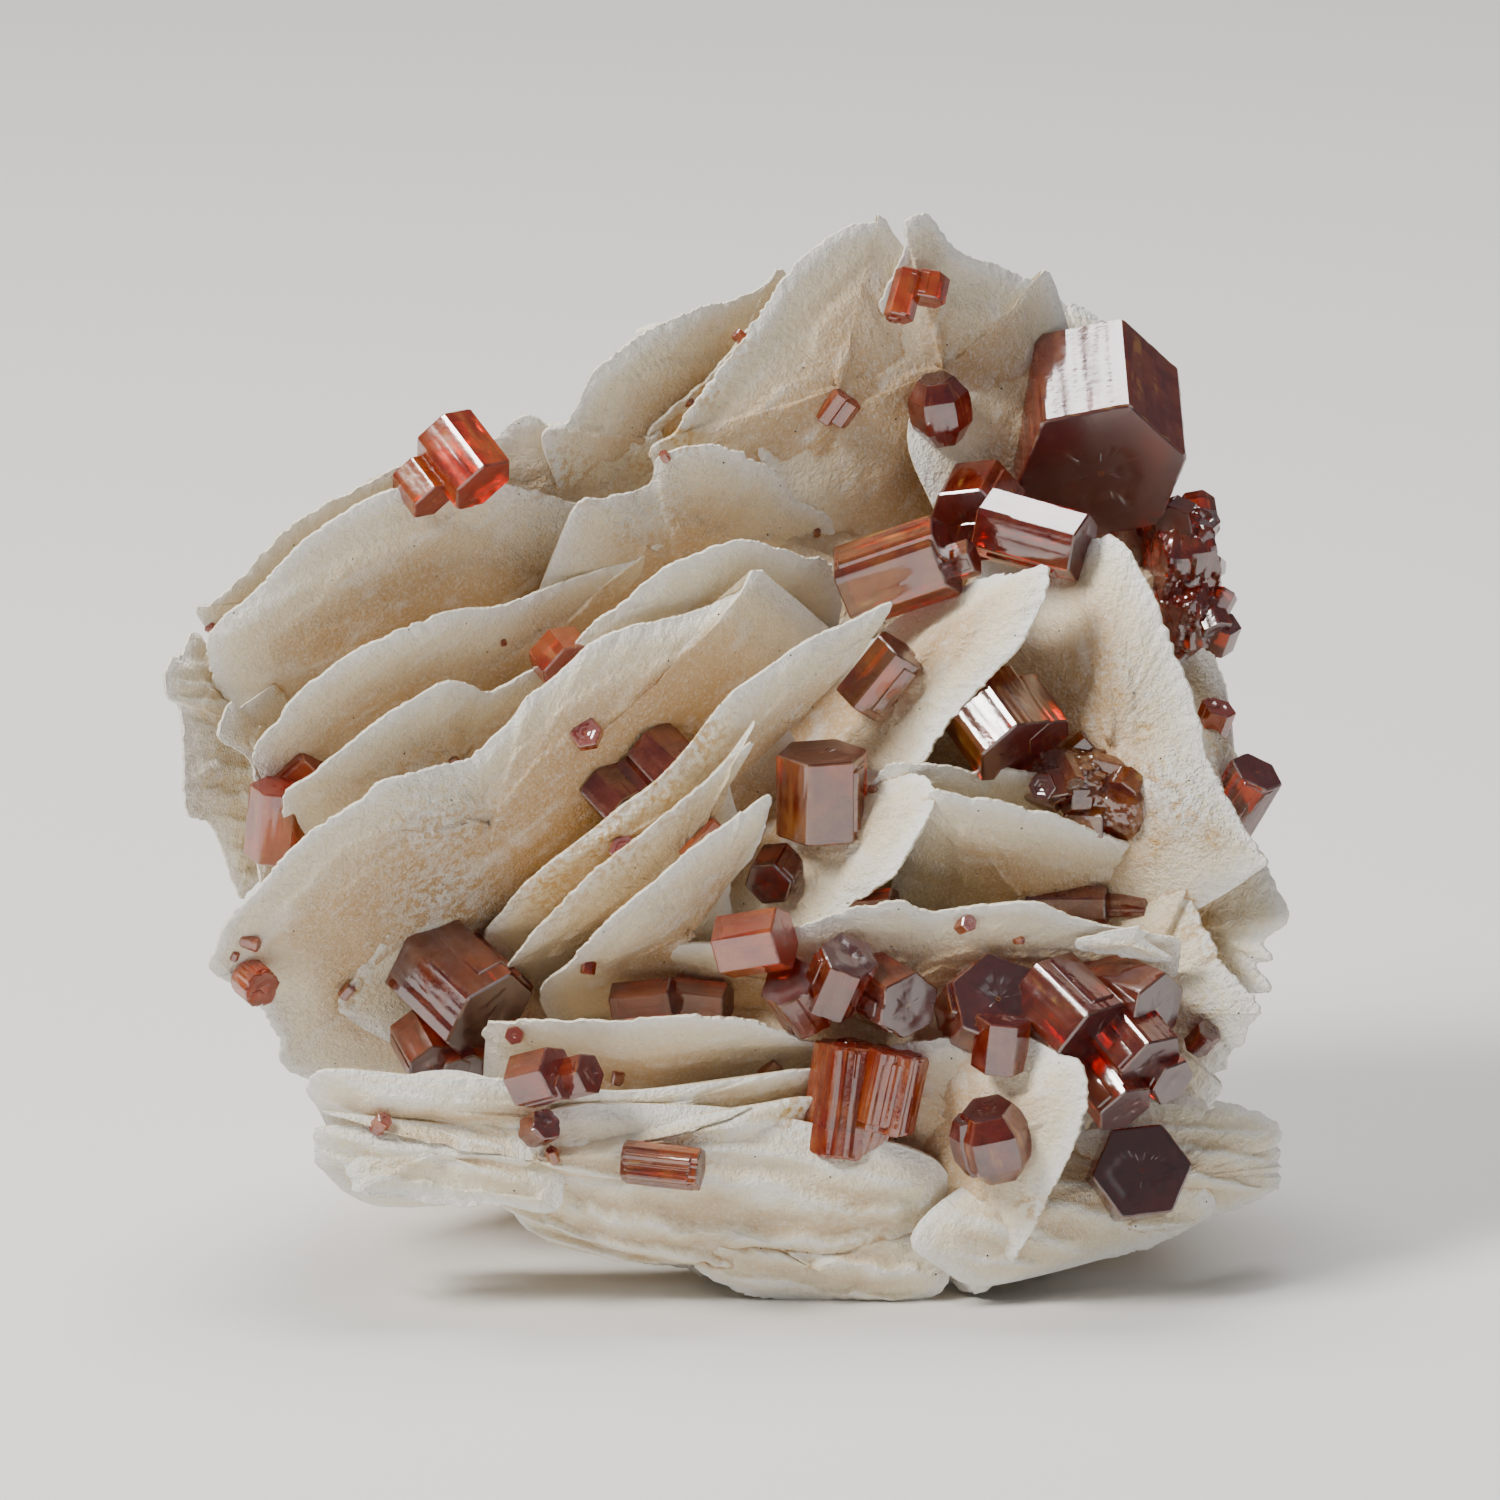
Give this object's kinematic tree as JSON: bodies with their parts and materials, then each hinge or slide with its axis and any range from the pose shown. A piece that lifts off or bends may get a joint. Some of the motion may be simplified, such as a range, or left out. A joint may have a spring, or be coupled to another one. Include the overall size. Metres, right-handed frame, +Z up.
{
  "type": "vanadinite specimen",
  "caption": "Cabinet specimen of red-brown hexagonal vanadinite prisms scattered over stacked, curved blades of white barite.",
  "frame": {"origin": "under the middle of the specimen's box, at the surface that it rests on", "axes": "+X to the right of the front view, along the longest extent; +Z up; the front with most of the crystals faces -Y"},
  "size_m": [0.0501, 0.0331, 0.0464],
  "materials": {
    "barite": "natural: milky, slightly translucent barite, warm white to grey, with a fine sugary grain and crisp pale rims",
    "vanadinite": "natural: translucent deep red-brown crystal with a bright adamantine shine, fine striations along the prism and golden glints"
  },
  "bodies": {
    "root": {"barite_matrix": "barite", "crystal_upper_left": "vanadinite", "crystal_summit_pair": "vanadinite", "crystal_chips": "vanadinite", "crystal_dark_barrel": "vanadinite", "crystal_largest": "vanadinite", "crystal_cluster": "vanadinite", "crystal_double_barrel": "vanadinite", "crystal_slanting": "vanadinite", "crystal_gold": "vanadinite", "crystal_upright": "vanadinite", "crystal_small_dark": "vanadinite", "crystal_twin_blocks": "vanadinite", "crystal_plate_upper": "vanadinite", "crystal_plate_lower": "vanadinite", "crystal_sliver": "vanadinite", "crystal_crescent": "vanadinite", "crystal_left_lower": "vanadinite", "crystal_tip": "vanadinite", "crystal_big_left": "vanadinite", "crystal_flat_twin": "vanadinite", "crystal_small_facets": "vanadinite", "crystal_slab": "vanadinite", "crystal_gap_pair": "vanadinite", "crystal_shelf_block": "vanadinite", "crystal_striated_group": "vanadinite", "crystal_rough_plate": "vanadinite", "crystal_shelf_small": "vanadinite", "crystal_gap_right": "vanadinite", "crystal_lower_right": "vanadinite", "crystal_glossy": "vanadinite", "crystal_hexagon": "vanadinite", "crystal_stalk": "vanadinite", "crystal_right_rim_red": "vanadinite", "crystal_right_rim_brown": "vanadinite", "crystal_right_dark": "vanadinite", "crystal_right_mass": "vanadinite", "crystal_back_upper": "vanadinite", "crystal_back_right": "vanadinite", "crystal_back_low": "vanadinite"}
  },
  "joints": []
}
